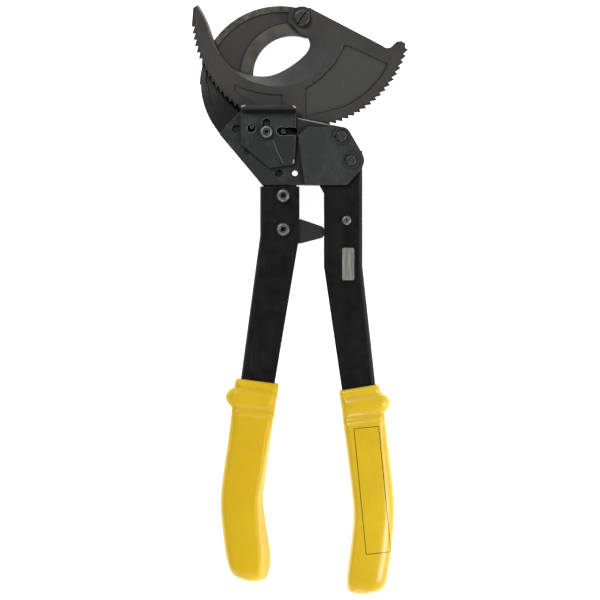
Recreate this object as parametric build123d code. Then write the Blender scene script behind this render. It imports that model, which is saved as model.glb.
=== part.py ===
from build123d import *
import math
import os

# Ratchet cable cutter, lying on its back: +Z is up, the front of the tool.
# Lengths are in millimetres. Plan points are measured from the blade pivot,
# with +Y towards the hook and -Y along the handles. Every piece is moved as it
# is written, so that the origin is the middle of the whole tool's footprint.

# ---- heights of the layers ----
SHEAR_Z = 14.0  # front face of the fixed jaw, where the blade slides
RUN_GAP = 0.05
JAW_BACK_Z = 6.0
TANG_BACK_Z = 8.2
BLADE_TOP_Z = 21.0
PLATE_BACK_Z = 21.3
PLATE_TOP_Z = 24.3
RELEASE_BACK_Z = 24.5
SHEET = 2.8  # release plate thickness
RELEASE_TOP_Z = RELEASE_BACK_Z + SHEET
LIP_TOP_Z = 34.5
CHANNEL_BACK_Z = 5.7
CHANNEL_TOP_Z = 24.6
WALL = 2.5
CHEEK = 3.0
CHEEK_TOP_Z = CHANNEL_TOP_Z + CHEEK
CHEEK_BACK_Z = CHANNEL_BACK_Z - CHEEK
PAWL_BACK_Z = 14.3
PAWL_TOP_Z = 20.8
GRIP_TOP_Z = 30.3
GRIP_EDGE = 2.0
FLANGE_BACK_Z = CHANNEL_BACK_Z + WALL  # inner face of the back flange
FLANGE_TOP_Z = CHANNEL_TOP_Z - WALL  # inner face of the front flange

# ---- blade and teeth ----
PIVOT = (0.0, 0.0)
BOSS_R = 10.2
BOSS_TOP_Y = 7.7  # the pivot boss is cut flat here
PIVOT_BOLT_R = 5.0
TIP_R = 84.1
ROOT_R = 81.7
TEETH_IN_CIRCLE = 104
TOOTH_PITCH = 360 / TEETH_IN_CIRCLE
TOOTH_COUNT = 47
FIRST_TOOTH = -16.2
STEEP_SHARE = 0.08  # share of a pitch taken by the steep face of a tooth

# ---- jaw ----
HOOK_CENTRE = (-16.7, -51.7)
HOOK_R = 61.3
LOWER_CENTRE = (-19.5, -49.1)  # the jaw's outline below WAIST_Y turns about this point
LOWER_R = 57.6
WAIST_Y = -50.0
RIM = 4.6
LOWER_RIM = 5.2
THROAT_CENTRE = (-7.2, -43.1)
THROAT_R = 30.0
LAND_R = 39.5
JAW_RELIEF = 1.0  # depth of the field between rim and land

# ---- pins ----
HANDLE_PIVOT = (30.0, -90.0)
DRIVE_PIVOT = (37.2, -108.4)
PIN_R = 4.0
PIN_FIT = 0.04
CLIP_R = 6.3
# each rivet's place, radius and depth below the front plate's face
RIVETS = [(-50.0, -84.5, 3.25, 2.0), (-42.2, -102.2, 2.25, 1.2), (-17.7, -118.0, 3.0, 2.6)]
TETHER = (-5.4, -118.0)
TETHER_R = 2.25
PAWL_PIVOT = (-27.0, -86.8)
SHOULDER_R = 3.15
HOLD_PIN = (-38.1, -82.8)
HOLD_PIN_R = 1.7
DRIVE_PIN = (-14.2, -86.6)
DRIVE_PIN_R = 1.7
DRIVE_BOSS_R = 5.9
HANDLE_SCREWS = [(-14.3, -135.1), (-14.3, -160.7)]
BRACE_SCREW = (33.8, -153.9)
M6_R = 3.0

# ---- handles: the web side and the open side of each channel, from the top down ----
# Each channel's open side is cut back where its grip covers it.
FIXED_WEB = [(-31.9, -128.1), (-31.9, -165.0), (-59.3, -370.0), (-54.8, -410.0)]
FIXED_OPEN = [(-1.9, -128.1), (-1.9, -165.0), (-21.5, -282.0), (-38.6, -370.0), (-36.8, -410.0)]
MOVING_WEB = [(46.0, -101.0), (46.0, -189.0), (66.3, -374.0), (63.4, -417.0)]
MOVING_OPEN = [
    (11.0, -101.0), (11.0, -123.0), (16.7, -133.0), (16.7, -189.0), (30.9, -285.8), (45.6, -374.0),
    (45.0, -417.0),
]
BEND_R = 3.5
INNER_BEND_R = 1.0

LEFT_GRIP = [
    (-50.4, -273.9), (-51.8, -280.0), (-58.4, -288.1), (-53.4, -295.0), (-60.5, -351.0),
    (-62.0, -370.0), (-57.6, -411.0), (-52.2, -425.0), (-33.2, -428.9), (-26.0, -425.0),
    (-23.6, -410.0), (-29.6, -364.5), (-28.0, -351.0), (-17.4, -278.7),
]
LEFT_GRIP_ROUNDS = [2, 3, 4, 2, 60, 40, 40, 10, 8, 6, 30, 30, 40, 2]
RIGHT_GRIP = [
    (58.7, -278.9), (61.0, -285.0), (67.3, -292.1), (62.6, -299.8), (68.8, -351.0),
    (70.6, -377.0), (67.0, -415.0), (62.3, -431.5), (51.3, -437.4), (37.0, -437.9),
    (33.0, -432.0), (36.4, -402.0), (38.8, -379.0), (28.2, -283.7),
]
RIGHT_GRIP_ROUNDS = [2, 3, 4, 2, 60, 40, 40, 6, 10, 5, 4, 40, 40, 2]

pieces = {}


# ---- small helpers ----
def slab(face, low, high):
    """The face extruded from height low to height high."""
    return extrude(Pos(0, 0, low) * face, high - low)


def disc(at, radius):
    """A round face at a plan point."""
    return Pos(at[0], at[1]) * Circle(radius)


def rod(at, radius, low, high):
    """A round bar along Z."""
    return slab(disc(at, radius), low, high)


def tube(at, outer, inner, low, high):
    """A round sleeve along Z."""
    return slab(disc(at, outer) - disc(at, inner), low, high)


def rounded(points, radius):
    """A face with straight sides and rounded corners."""
    return make_face(FilletPolyline(*points, radius=radius, close=True))


def polygon(points):
    """A face with straight sides."""
    return make_face(Polyline(*points, close=True))


def polar(radius, degrees):
    """The plan point at a radius and an angle about the blade pivot."""
    turn = math.radians(degrees)
    return (radius * math.cos(turn), radius * math.sin(turn))


def hex_bar(at, across_flats, low, high):
    """A hexagonal bar along Z."""
    return slab(Pos(at[0], at[1]) * RegularPolygon(across_flats / 2, 6, major_radius=False), low, high)


def outer_rim_edges(solid, height, at, radius):
    """The round edge of that radius about a plan point, at a height."""
    found = []
    for edge in solid.edges().filter_by(GeomType.CIRCLE):
        middle = edge.arc_center
        near = abs(middle.X - at[0]) + abs(middle.Y - at[1]) < 0.01
        if near and abs(middle.Z - height) < 0.01 and abs(edge.radius - radius) < 0.01:
            found.append(edge)
    return found


def button_head(at, radius, low, height, socket_flats):
    """A low domed head with a hexagon socket."""
    head = rod(at, radius, low, low + height)
    head = fillet(outer_rim_edges(head, low + height, at, radius), height * 0.62)
    return head - hex_bar(at, socket_flats, low + height * 0.4, low + height + 1)


def lock_nut(at, across_flats, bore, low, high):
    """A hexagon nut with chamfered corners."""
    nut = hex_bar(at, across_flats, low, high)
    cone_r = across_flats / 2 * 1.08
    crown = chamfer(rod(at, cone_r, low, high).edges().filter_by(GeomType.CIRCLE), 0.5)
    return (nut & crown) - rod(at, bore, low - 1, high + 1)


def coil_spring(start, direction, mean_r, wire_r, length, turns):
    """A compression spring from a point, along a direction."""
    path = Helix(length / turns, length, mean_r)
    section = Plane(origin=path @ 0, z_dir=path % 0) * Circle(wire_r)
    coil = sweep(section, path=path, is_frenet=True)
    return Plane(origin=start, z_dir=direction).location * coil


# ---- blade ----
def tooth_points():
    """The saw-shaped rim, from the right-hand end round to the horn."""
    points = []
    for n in range(TOOTH_COUNT):
        root = FIRST_TOOTH - n * TOOTH_PITCH
        points.append(polar(ROOT_R, root))
        points.append(polar(TIP_R, root - STEEP_SHARE * TOOTH_PITCH))
    return points


BOSS_SHOULDER = (6.1, BOSS_TOP_Y)
TOP_SLOPE_END = (61.6, -21.3)
NOTCH = (65.0, -22.8)
THUMB_FOOT = (68.9, -20.7)
THUMB = [(72.0, -17.9), (75.6, -17.5), (78.6, -19.2)]
EDGE_RIGHT = [(-4.6, -9.1), (-0.6, -12.4), (3.6, -14.5), (6.0, -19.5), (0.0, -29.6)]
EDGE_LEFT = [(-12.1, -38.4), (-24.9, -43.6), (-36.9, -43.6), (-46.4, -41.0), (-53.6, -36.6), (-60.8, -29.4)]
CREST_RIGHT = [(-3.4, -8.2), (1.8, -9.6), (8.4, -9.9), (18.9, -17.4), (15.2, -35.0)]
CREST_LEFT = [(2.6, -46.4), (-14.5, -51.8), (-30.0, -50.6), (-43.0, -46.0), (-53.0, -38.8), (-61.4, -29.4)]
HORN_INSIDE = [(-65.3, -21.0), (-70.7, -5.3), (-75.2, 4.6), (-78.7, 10.5)]
HORN_CREST = [(-67.2, -20.6), (-72.5, -5.0), (-76.9, 4.2), (-80.3, 9.8)]
PAST_HORN = [(-80.4, 13.4), (-82.4, 13.3)]  # where the bevel's edge and crest run out past the horn
HORN_OUTSIDE = [(-82.8, 7.6)]
EDGE_Z = SHEAR_Z + 0.5  # height of the cutting edge's small land
BEVEL_PAST = 0.06  # share of the bevel that its cutter runs past the blade at either end
PANEL_DEPTH = 1.3
SMALL_PANEL_DEPTH = 1.0
SMALL_PANEL_R = 75.8


def blade_face():
    """The blade's whole outline, down to the cutting edge."""
    rim = tooth_points()
    body = make_face(
        [
            Polyline(*rim, *HORN_OUTSIDE, HORN_INSIDE[-1]),
            Spline(*reversed(HORN_INSIDE), *reversed(EDGE_LEFT), *reversed(EDGE_RIGHT)),
            Polyline(EDGE_RIGHT[0], (0, 0), BOSS_SHOULDER, TOP_SLOPE_END),
            ThreePointArc(TOP_SLOPE_END, NOTCH, THUMB_FOOT),
            Polyline(THUMB_FOOT, *THUMB, rim[0]),
        ]
    )
    return body + boss_face()


def boss_face():
    """Plan of the boss about the blade pivot, with its flat top."""
    flat = polygon([(-20, BOSS_TOP_Y), (20, BOSS_TOP_Y), (20, -20), (-20, -20)])
    return disc(PIVOT, BOSS_R) & flat


def bevel_cutter():
    """What the bevel takes away, from the edge up to the front face."""
    inside = (-30.0, 14.0)
    edge = EDGE_RIGHT + EDGE_LEFT + HORN_INSIDE + PAST_HORN[:1]
    crest = CREST_RIGHT + CREST_LEFT + HORN_CREST + PAST_HORN[1:]

    def wire(share):
        """The bevel's line at a share of the way from its edge to its crest."""
        z = EDGE_Z + (BLADE_TOP_Z - EDGE_Z) * share
        points = []
        for a, b in zip(edge, crest):
            points.append(Vector(a[0] + (b[0] - a[0]) * share, a[1] + (b[1] - a[1]) * share, z))
        return Wire([Spline(*points), Line(points[-1], (*inside, z)), Line((*inside, z), points[0])])

    return Solid.make_loft([wire(-BEVEL_PAST), wire(1 + BEVEL_PAST)], ruled=True)


def moving_blade():
    """Crescent blade with its bevel, two shallow panels and its pivot bore."""
    blade = slab(blade_face(), SHEAR_Z + RUN_GAP, BLADE_TOP_Z)
    blade -= bevel_cutter()
    right = rounded(
        [(32.4, -19.6), (66.2, -34.8), (60.5, -45.6), (49.0, -57.8), (33.0, -68.2), (2.3, -75.7),
         (2.3, -53.2), (13.5, -45.8), (24.4, -34.4)],
        [2.5, 2.0, 20, 30, 30, 1.5, 1.5, 20, 10],
    )
    blade -= slab(right, BLADE_TOP_Z - PANEL_DEPTH, BLADE_TOP_Z + 1)
    start, middle, end = (polar(SMALL_PANEL_R, turn) for turn in (-133, -118, -100.6))
    left = make_face(
        [
            Polyline((-51.5, -50.2), start),
            ThreePointArc(start, middle, end),
            Polyline(end, (-14.9, -58.0)),
            ThreePointArc((-14.9, -58.0), (-34.0, -56.4), (-51.5, -50.2)),
        ]
    )
    blade -= slab(left, BLADE_TOP_Z - SMALL_PANEL_DEPTH, BLADE_TOP_Z + 1)
    return blade - rod(PIVOT, PIVOT_BOLT_R + PIN_FIT, 0, LIP_TOP_Z)


# ---- frame ----
PIVOT_ARM_R = 7.0
ARM_TOP = (31.7, -83.2)
ARM_BOTTOM = (24.4, -94.3)
FRAME_DIAGONAL = [(-30.3, -126.9), (-62.6, -88.6)]


def frame_bores():
    """Holes that go through the tang and the front plate alike."""
    cut = rod(HANDLE_PIVOT, PIN_R + PIN_FIT, 0, LIP_TOP_Z) + rod(TETHER, TETHER_R, 0, LIP_TOP_Z)
    for x, y, radius, _ in RIVETS:
        cut += rod((x, y), radius, 0, LIP_TOP_Z)
    return cut


def lower_body(tail):
    """The frame's plan below the throat; tail is its bottom line."""
    shape = polygon(
        [(-64.9, -84.9), FRAME_DIAGONAL[0], *tail, (8.0, -126.9), (9.0, -101.0), ARM_BOTTOM,
         HANDLE_PIVOT, ARM_TOP, (-4.6, -75.0), (-7.2, -73.1), (-60.0, -62.0)]
    )
    return shape + disc(HANDLE_PIVOT, PIVOT_ARM_R)


def fixed_jaw():
    """The hook, its sunk field between rim and land, and the tang."""
    hook = disc(HOOK_CENTRE, HOOK_R) & polygon(
        [(-90, 20), (4, 20), (4, -14), THROAT_CENTRE, (THROAT_CENTRE[0], WAIST_Y), (-90, WAIST_Y)]
    )
    lower = disc(LOWER_CENTRE, LOWER_R) & polygon(
        [(-90, WAIST_Y), (THROAT_CENTRE[0], WAIST_Y), (THROAT_CENTRE[0], -80), (-40, -84.9), (-90, -84.9)]
    )
    thick = hook + lower + boss_face()
    thick -= disc(THROAT_CENTRE, THROAT_R)
    tail = [(-28.0, -128.9), (-28.0, -170.0), (-4.0, -170.0), (-4.0, -126.9)]
    tang = lower_body(tail) - disc(THROAT_CENTRE, THROAT_R)
    jaw = slab(thick, JAW_BACK_Z, SHEAR_Z) + slab(tang, TANG_BACK_Z, SHEAR_Z)
    field = disc(HOOK_CENTRE, HOOK_R - RIM) & polygon(
        [(-90, 20), (-4, 20), (-4, WAIST_Y), (-90, WAIST_Y)]
    )
    field += disc(LOWER_CENTRE, LOWER_R - LOWER_RIM) & polygon(
        [(-90, WAIST_Y), (-4, WAIST_Y), (-36, -66), (-46, -71.5), (-59.5, -83), (-90, -83)]
    )
    field -= disc(THROAT_CENTRE, LAND_R) + disc(PIVOT, BOSS_R + 0.3)
    jaw -= slab(field, SHEAR_Z - JAW_RELIEF, SHEAR_Z + 1)
    jaw -= rod(PIVOT, PIVOT_BOLT_R, 0, LIP_TOP_Z)
    jaw -= frame_bores() + rod(PAWL_PIVOT, 2.5, 0, LIP_TOP_Z)
    for at in HANDLE_SCREWS:
        jaw -= rod(at, M6_R, 0, LIP_TOP_Z)
    return jaw


HOLD_WINDOW = (-38.6, -84.1)
HOLD_WINDOW_R = 3.9
DRIVE_WINDOW = [(-17.2, -83.6), (-3.4, -83.6), (-3.4, -90.0), (-17.2, -90.0)]


def front_plate():
    """The frame's front plate, with windows for the two release pins."""
    shape = polygon(
        [(-62.6, -88.6), FRAME_DIAGONAL[0], (8.0, -126.9), (9.0, -101.0), ARM_BOTTOM, HANDLE_PIVOT, ARM_TOP,
         (-4.6, -75.8), (-44.0, -68.9), (-46.7, -71.1), (-56.6, -81.3)]
    )
    shape += disc(HANDLE_PIVOT, PIVOT_ARM_R)
    shape -= disc(HOLD_WINDOW, HOLD_WINDOW_R)
    shape -= rounded(DRIVE_WINDOW, 2.6)
    plate = slab(shape, PLATE_BACK_Z, PLATE_TOP_Z)
    return plate - frame_bores() - rod(PAWL_PIVOT, SHOULDER_R, 0, LIP_TOP_Z)


def frame_spacer():
    """A strip along the frame's slanted side that keeps the plates apart."""
    strip = rounded(
        [(-61.6, -88.6), (-30.4, -125.6), (-12.5, -125.6), (-12.5, -113.0), (-24.5, -113.0),
         (-34.0, -97.8), (-43.0, -97.8), (-45.8, -92.0), (-45.8, -81.0), (-55.0, -80.9)],
        [1, 1, 3, 3, 2, 1, 1, 2, 2, 3],
    )
    spacer = slab(strip, SHEAR_Z, PLATE_BACK_Z) - frame_bores()
    return spacer - rod((0, 0), TIP_R + 1.2, 0, LIP_TOP_Z)


def frame_rivets():
    """Pins that hold tang, spacer and front plate together."""
    group = []
    for x, y, radius, depth in RIVETS:
        group.append(rod((x, y), radius, TANG_BACK_Z, PLATE_TOP_Z - depth))
    return Compound(children=group)


# ---- release ----
SLOT_HALF = 3.25
SLOT_TOP = -76.5
PLATE_LEFT = -46.5
PLATE_RIGHT = -4.4
LIP_Y = -66.8
RELEASE_OUTLINE = [
    (PLATE_LEFT, LIP_Y), (PLATE_LEFT, -96.2), (-24.9, -114.1), (-5.6, -111.4), (PLATE_RIGHT, -90.6),
    (PLATE_RIGHT, LIP_Y),
]
HOLD_HOLE = (-38.4, -84.0)
HOLD_HOLE_R = 3.2
DRIVE_SLOT = (-16.1, -86.3)
DRIVE_SLOT_R = 3.1


def long_edges_at(solid, y, z):
    """Edges along X at a place in Y and Z."""
    found = []
    for edge in solid.edges().filter_by(Axis.X):
        middle = edge.center()
        if edge.length > 30 and abs(middle.Y - y) < 0.01 and abs(middle.Z - z) < 0.01:
            found.append(edge)
    return found


def release_plate():
    """A sliding plate whose top edge is bent up into a thumb lip."""
    shape = rounded(RELEASE_OUTLINE, [0.5, 2.0, 2.0, 1.2, 1.5, 0.5])
    slot_low = PAWL_PIVOT[1]
    middle = (SLOT_TOP - SLOT_HALF + slot_low) / 2
    length = SLOT_TOP - SLOT_HALF - slot_low
    x = PAWL_PIVOT[0]
    shape -= Pos(x, middle) * Rectangle(2 * SLOT_HALF, length)
    shape -= disc((x, SLOT_TOP - SLOT_HALF), SLOT_HALF) + disc((x, slot_low), SLOT_HALF)
    shape -= disc(HOLD_HOLE, HOLD_HOLE_R)
    shape -= disc(DRIVE_SLOT, DRIVE_SLOT_R)
    shape -= polygon(
        [(DRIVE_SLOT[0], DRIVE_SLOT[1] + DRIVE_SLOT_R), (0, -83.4), (0, -89.4),
         (DRIVE_SLOT[0], DRIVE_SLOT[1] - DRIVE_SLOT_R)]
    )
    plate = slab(shape, RELEASE_BACK_Z, RELEASE_TOP_Z)
    width = PLATE_RIGHT - PLATE_LEFT
    lip = Pos((PLATE_LEFT + PLATE_RIGHT) / 2, LIP_Y - SHEET / 2, (RELEASE_BACK_Z + LIP_TOP_Z) / 2) * Box(
        width, SHEET, LIP_TOP_Z - RELEASE_BACK_Z
    )
    plate += lip
    plate = fillet(long_edges_at(plate, LIP_Y, RELEASE_BACK_Z), SHEET + 0.8)
    plate = fillet(long_edges_at(plate, LIP_Y - SHEET, RELEASE_TOP_Z), 0.8)
    corners = [e for e in plate.edges().filter_by(Axis.Y) if e.center().Z > LIP_TOP_Z - 0.01]
    plate = fillet(corners, 3.5)
    ridge = [e for e in plate.edges() if e.center().Z > RELEASE_TOP_Z + 1.5 and e.length > 3.0]
    return fillet(ridge, 0.9)


HEAD_LOW_Z = RELEASE_TOP_Z + 0.8


def release_screw():
    """Shoulder screw: the holding pawl turns on it and the plate slides on it."""
    shoulder = rod(PAWL_PIVOT, SHOULDER_R, SHEAR_Z, HEAD_LOW_Z)
    thread = rod(PAWL_PIVOT, 2.5, TANG_BACK_Z, SHEAR_Z)
    return shoulder + thread + button_head(PAWL_PIVOT, 4.8, HEAD_LOW_Z, 2.9, 3.2)


def pawl_blank(face, bores):
    """A pawl plate with its bores."""
    pawl = slab(face, PAWL_BACK_Z, PAWL_TOP_Z)
    for at, radius in bores:
        pawl -= rod(at, radius, 0, LIP_TOP_Z)
    return pawl


def holding_pawl():
    """The pawl that keeps the blade from opening."""
    beak = rounded(
        [(-40.0, -74.35), (-43.6, -77.6), (-43.2, -86.5), (-38.6, -89.6), (-27.6, -92.0), (-22.6, -84.5),
         (-29.5, -81.8)],
        [0.25, 2, 3, 3, 3, 2, 3],
    )
    face = beak + disc(PAWL_PIVOT, 5.2)
    return pawl_blank(face, [(PAWL_PIVOT, SHOULDER_R + PIN_FIT), (HOLD_PIN, HOLD_PIN_R)])


def drive_pawl():
    """The pawl that pushes the blade shut, hinged on the moving handle."""
    arm = rounded(
        [(-18.5, -82.6), (-17.6, -88.6), (-11.0, -90.6), (3.0, -96.0), (14.0, -107.5), (30.0, -113.6),
         (40.0, -113.0), (40.0, -103.6), (28.0, -102.4), (18.0, -100.7), (8.0, -90.6), (-8.0, -85.4)],
        [0.25, 1.5, 4, 5, 8, 8, 4, 4, 6, 5, 6, 6],
    )
    face = arm + disc(DRIVE_PIVOT, DRIVE_BOSS_R)
    return pawl_blank(face, [(DRIVE_PIVOT, PIN_R + PIN_FIT), (DRIVE_PIN, DRIVE_PIN_R)])


# ---- moving handle ----
CHEEK_OUTLINE = [
    (4.4, -83.0), (-2.5, -89.8), (-1.5, -100.3), (2.3, -126.9), (34.4, -126.9), (43.6, -116.1),
    (45.9, -103.4), (36.1, -86.5), (30.0, -83.0),
]
CHEEK_TOP_R = 7.0
CHEEK_SIDE_R = 10.0


def cheek(low):
    """One of the two plates that carry the moving handle on its pivot."""
    face = polygon(CHEEK_OUTLINE) + disc(HANDLE_PIVOT, CHEEK_TOP_R) + disc(DRIVE_PIVOT, CHEEK_SIDE_R)
    face -= disc(HANDLE_PIVOT, PIN_R) + disc(DRIVE_PIVOT, PIN_R)
    return slab(face, low, low + CHEEK)


def shifted(points, dx):
    """The points moved along X."""
    return [(x + dx, y) for x, y in points]


def channel(web, open_side, inward):
    """A bent U-channel; inward is +1 where its open side looks towards +X."""
    body = slab(polygon(web + open_side[::-1]), CHANNEL_BACK_Z, CHANNEL_TOP_Z)
    outer = web_edges(body, web, CHANNEL_BACK_Z) + web_edges(body, web, CHANNEL_TOP_Z)
    body = fillet(outer, BEND_R)
    past = 5.0
    inner_web = shifted(web, inward * WALL)
    inner_web[0] = (inner_web[0][0], inner_web[0][1] + past)
    inner_web[-1] = (inner_web[-1][0], inner_web[-1][1] - past)
    mouth = shifted(open_side, inward * past)
    mouth[0] = (mouth[0][0], inner_web[0][1])
    mouth[-1] = (mouth[-1][0], inner_web[-1][1])
    hollow = slab(polygon(inner_web + mouth[::-1]), FLANGE_BACK_Z, FLANGE_TOP_Z)
    corners = web_edges(hollow, inner_web, FLANGE_BACK_Z) + web_edges(hollow, inner_web, FLANGE_TOP_Z)
    return body - fillet(corners, INNER_BEND_R)


def web_edges(solid, line, z):
    """Edges at a height whose middles are those of the line's stretches."""
    middles = [((a[0] + b[0]) / 2, (a[1] + b[1]) / 2) for a, b in zip(line, line[1:])]
    found = []
    for edge in solid.edges():
        at = edge.center()
        if abs(at.Z - z) < 0.01 and any(math.hypot(at.X - x, at.Y - y) < 0.1 for x, y in middles):
            found.append(edge)
    return found


def moving_handle():
    """The moving handle's channel with its bores."""
    handle = channel(MOVING_WEB, MOVING_OPEN, -1)
    return handle - rod(DRIVE_PIVOT, PIN_R, 0, LIP_TOP_Z) - rod(BRACE_SCREW, BRACE_R, 0, LIP_TOP_Z)


def fixed_handle():
    """The fixed handle's channel with its two screw holes."""
    handle = channel(FIXED_WEB, FIXED_OPEN, 1)
    for at in HANDLE_SCREWS:
        handle -= rod(at, M6_R, 0, LIP_TOP_Z)
    return handle


GROOVE_R = 3.3
CLIP = 0.9
CLIP_LOW_Z = CHEEK_TOP_Z + 0.05
PIN_HEAD_R = 5.5
PIN_HEAD = 2.3


def headed_pin(at):
    """A pin with its head at the back and a clip groove in front."""
    end_z = CLIP_LOW_Z + CLIP + 1.2
    pin = rod(at, PIN_R, CHEEK_BACK_Z, end_z)
    pin = chamfer(outer_rim_edges(pin, end_z, at, PIN_R), 0.6)
    pin -= tube(at, PIN_R + 1, GROOVE_R, CLIP_LOW_Z, CLIP_LOW_Z + CLIP)
    head = rod(at, PIN_HEAD_R, CHEEK_BACK_Z - PIN_HEAD, CHEEK_BACK_Z)
    head = chamfer(outer_rim_edges(head, CHEEK_BACK_Z - PIN_HEAD, at, PIN_HEAD_R), 0.5)
    return pin + head


def retaining_clip(at, opens_towards):
    """An E-shaped clip in a pin's groove."""
    face = Circle(CLIP_R) - Circle(GROOVE_R + 0.02)
    face -= Pos(CLIP_R, 0) * Rectangle(2 * CLIP_R, 1.5 * GROOVE_R)
    for side in (-1, 1):
        face -= Rot(0, 0, side * 125) * Pos(GROOVE_R + 0.6, 0) * Circle(1.1)
    return slab(Pos(at[0], at[1]) * Rot(0, 0, opens_towards) * face, CLIP_LOW_Z, CLIP_LOW_Z + CLIP)


BRACE_R = 2.0
BRACE_HEAD_R = 3.5


def brace_screw():
    """Pan-head screw that keeps the moving channel from spreading."""
    head_top = CHANNEL_TOP_Z + 2.2
    head = rod(BRACE_SCREW, BRACE_HEAD_R, CHANNEL_TOP_Z, head_top)
    head = fillet(outer_rim_edges(head, head_top, BRACE_SCREW, BRACE_HEAD_R), 1.3)
    for turn in (20, 110):
        head -= Pos(*BRACE_SCREW, head_top) * Rot(0, 0, turn) * Box(3.6, 0.8, 2.0)
    return head + rod(BRACE_SCREW, BRACE_R, CHANNEL_BACK_Z - 3.6, CHANNEL_TOP_Z)


# ---- fixed handle ----
STOP_IN = [(-27.5, -151.0), (-8.0, -150.6), (-1.8, -152.6), (-1.8, -171.5), (-27.5, -172.0)]
STOP_OUT = [(-1.8, -152.6), (16.6, -158.8), (16.6, -166.7), (-1.8, -171.5)]
STOP_BACK_Z = CHANNEL_BACK_Z + 0.8
STOP_TOP_Z = CHANNEL_TOP_Z - 0.6
UPPER_SCREW, LOWER_SCREW = HANDLE_SCREWS


def handle_stop():
    """The wedge between the handles, held by the lower handle screw."""
    inside = slab(rounded(STOP_IN, 0.8), SHEAR_Z, FLANGE_TOP_Z) - rod(LOWER_SCREW, M6_R, 0, LIP_TOP_Z)
    outside = slab(rounded(STOP_OUT, [0.6, 2.5, 2.5, 0.6]), STOP_BACK_Z, STOP_TOP_Z)
    stop = inside + outside
    for n in range(3):
        y = -160.2 - n * 2.4
        stop -= Pos(13.5, y, STOP_TOP_Z) * Box(4.0, 0.7, 0.8)
    return stop


def handle_screw(at):
    """Button-head screw through the fixed channel, the tang and a spacer."""
    shank = rod(at, M6_R, CHANNEL_BACK_Z - 5.4, CHANNEL_TOP_Z)
    return shank + button_head(at, 5.25, CHANNEL_TOP_Z, 3.3, 4.0)


def grip(outline, rounds, core, edge_r):
    """A thick sleeve over the lower end of a channel."""
    solid = slab(rounded(outline, rounds), 0, GRIP_TOP_Z)
    rims = [e for e in solid.edges() if abs(e.center().Z) < 0.01 or abs(e.center().Z - GRIP_TOP_Z) < 0.01]
    solid = chamfer(rims, edge_r)
    return solid - slab(core, CHANNEL_BACK_Z, CHANNEL_TOP_Z)


def blade_pivot_bolt():
    """The blade's pivot, with a slotted round head in front."""
    low = BLADE_TOP_Z + RUN_GAP
    high = low + 4.6
    head_r = 6.0
    head = rod(PIVOT, head_r, low, high)
    head = fillet(outer_rim_edges(head, high, PIVOT, head_r), 1.6)
    head -= Pos(0, 0, high) * Rot(0, 0, 55) * Box(20, 1.3, 3.4)
    shank = rod(PIVOT, PIVOT_BOLT_R, 0.4, low)
    return head + shank


NUT_TOP_Z = 4.5
BUSH_WALL = 2.0
HOLD_SPRING_START = (-38.6, -97.3, 17.5)
HOLD_SPRING = dict(mean_r=2.0, wire_r=0.35, length=6.2, turns=4.5)
DRIVE_SPRING_START = (*DRIVE_PIVOT, 9.2)
DRIVE_SPRING = dict(mean_r=5.6, wire_r=0.45, length=4.2, turns=3)
BLOCK = [(-27.5, -129.6), (-27.5, -141.5), (-4.0, -141.5), (-4.0, -129.6)]
RELEASE_PIN_TOP_Z = RELEASE_TOP_Z - 0.3
M6_NUT = 5.0
M4_NUT = 3.2


def add(name, solid, colour):
    """Keep a piece under its name."""
    pieces[name] = (solid, Color(*colour))


STEEL = (0.30, 0.29, 0.27)
DARK = (0.20, 0.21, 0.20)
BLACK = (0.07, 0.08, 0.07)
BRIGHT = (0.62, 0.62, 0.60)
YELLOW = (0.85, 0.66, 0.06)

add("fixed_jaw", fixed_jaw(), STEEL)
add("front_plate", front_plate(), DARK)
add("frame_spacer", frame_spacer(), DARK)
add("frame_rivets", frame_rivets(), DARK)
add("tether_bush", tube(TETHER, TETHER_R + BUSH_WALL, TETHER_R, SHEAR_Z, PLATE_BACK_Z), DARK)
add("pivot_arm_spacer", tube(HANDLE_PIVOT, 5.5, PIN_R + PIN_FIT, SHEAR_Z, PLATE_BACK_Z), BRIGHT)
add("moving_blade", moving_blade(), STEEL)
add("blade_pivot_bolt", blade_pivot_bolt(), BRIGHT)
add("blade_pivot_washer", tube(PIVOT, 10.0, PIVOT_BOLT_R, NUT_TOP_Z, JAW_BACK_Z), BRIGHT)
add("blade_pivot_nut", lock_nut(PIVOT, 16.0, PIVOT_BOLT_R, 0, NUT_TOP_Z), BRIGHT)
add("release_plate", release_plate(), DARK)
add("release_screw", release_screw(), BRIGHT)
add("holding_pawl", holding_pawl(), STEEL)
add("holding_pawl_release_pin", rod(HOLD_PIN, HOLD_PIN_R, PAWL_BACK_Z, RELEASE_PIN_TOP_Z), BRIGHT)
add("holding_pawl_spring", coil_spring(HOLD_SPRING_START, (0, 1, 0), **HOLD_SPRING), BRIGHT)
add("drive_pawl", drive_pawl(), STEEL)
add("drive_pawl_release_pin", rod(DRIVE_PIN, DRIVE_PIN_R, PAWL_BACK_Z, RELEASE_PIN_TOP_Z), BRIGHT)
add("drive_pawl_spring", coil_spring(DRIVE_SPRING_START, (0, 0, 1), **DRIVE_SPRING), BRIGHT)
add("drive_pawl_pin", headed_pin(DRIVE_PIVOT), BRIGHT)
add("drive_pawl_sleeve", tube(DRIVE_PIVOT, 5.0, PIN_R, FLANGE_BACK_Z, PAWL_BACK_Z - RUN_GAP), BRIGHT)
add("drive_pawl_washer", tube(DRIVE_PIVOT, 5.2, PIN_R, PAWL_TOP_Z + RUN_GAP, FLANGE_TOP_Z), BRIGHT)
add("drive_pawl_clip", retaining_clip(DRIVE_PIVOT, 150), DARK)
add("handle_pivot_pin", headed_pin(HANDLE_PIVOT), BRIGHT)
add("handle_pivot_washer", tube(HANDLE_PIVOT, 6.5, PIN_R, CHANNEL_BACK_Z, TANG_BACK_Z - RUN_GAP), BRIGHT)
add("handle_pivot_clip", retaining_clip(HANDLE_PIVOT, 210), DARK)
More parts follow.
